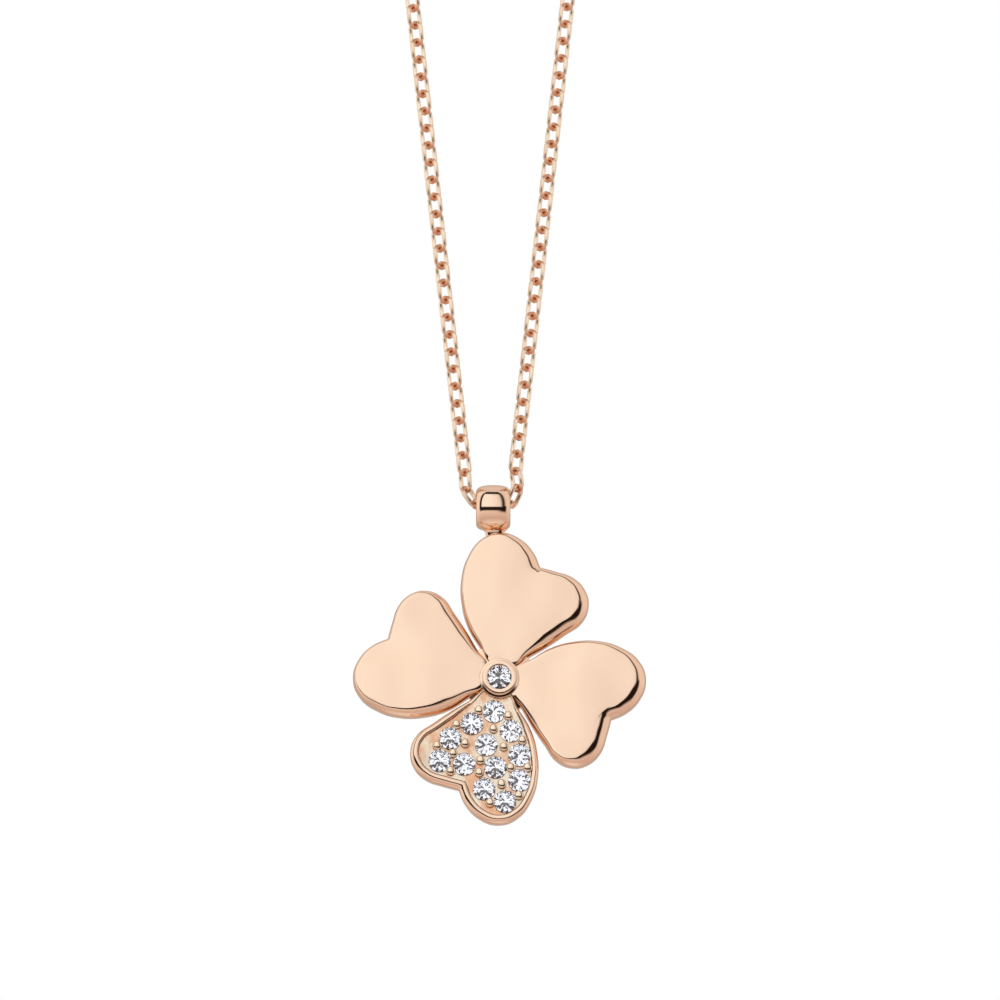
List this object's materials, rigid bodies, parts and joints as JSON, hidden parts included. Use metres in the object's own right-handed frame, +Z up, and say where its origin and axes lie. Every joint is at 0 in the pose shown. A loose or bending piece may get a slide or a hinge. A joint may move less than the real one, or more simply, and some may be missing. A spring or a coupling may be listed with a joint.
{
  "type": "four leaf clover pendant necklace",
  "caption": "Four leaf clover pendant of polished hearts, one heart set with small stones, with a bezel set middle stone and a barrel bail on a fine cable chain loop.",
  "frame": {"origin": "where the loop rests on the nape: the underside of the clasp ring at the top of the loop", "axes": "+X to the right in the front view, +Z up, the front with the stones faces -Y"},
  "size_m": [0.0448, 0.003, 0.2342],
  "materials": {
    "rose_gold": "high polish rose gold plating",
    "gemstone": "clear faceted stone"
  },
  "bodies": {
    "necklace": {"chain": "rose_gold", "clasp": "rose_gold", "jump_ring_left": "rose_gold", "jump_ring_right": "rose_gold"},
    "pendant": {"clover": "rose_gold", "centre_stone": "gemstone", "pave_stone_01": "gemstone", "pave_stone_02": "gemstone", "pave_stone_03": "gemstone", "pave_stone_04": "gemstone", "pave_stone_05": "gemstone", "pave_stone_06": "gemstone", "pave_stone_07": "gemstone", "pave_stone_08": "gemstone", "pave_stone_09": "gemstone", "pave_stone_10": "gemstone", "pave_stone_11": "gemstone", "pave_stone_12": "gemstone"}
  },
  "joints": [
    {"name": "pendant_swing", "type": "hinge", "parent": "necklace", "child": "pendant", "pos_m": [0.0002, 0, -0.2075], "axis": [1, 0, 0], "range_deg": [-140, 140]}
  ]
}
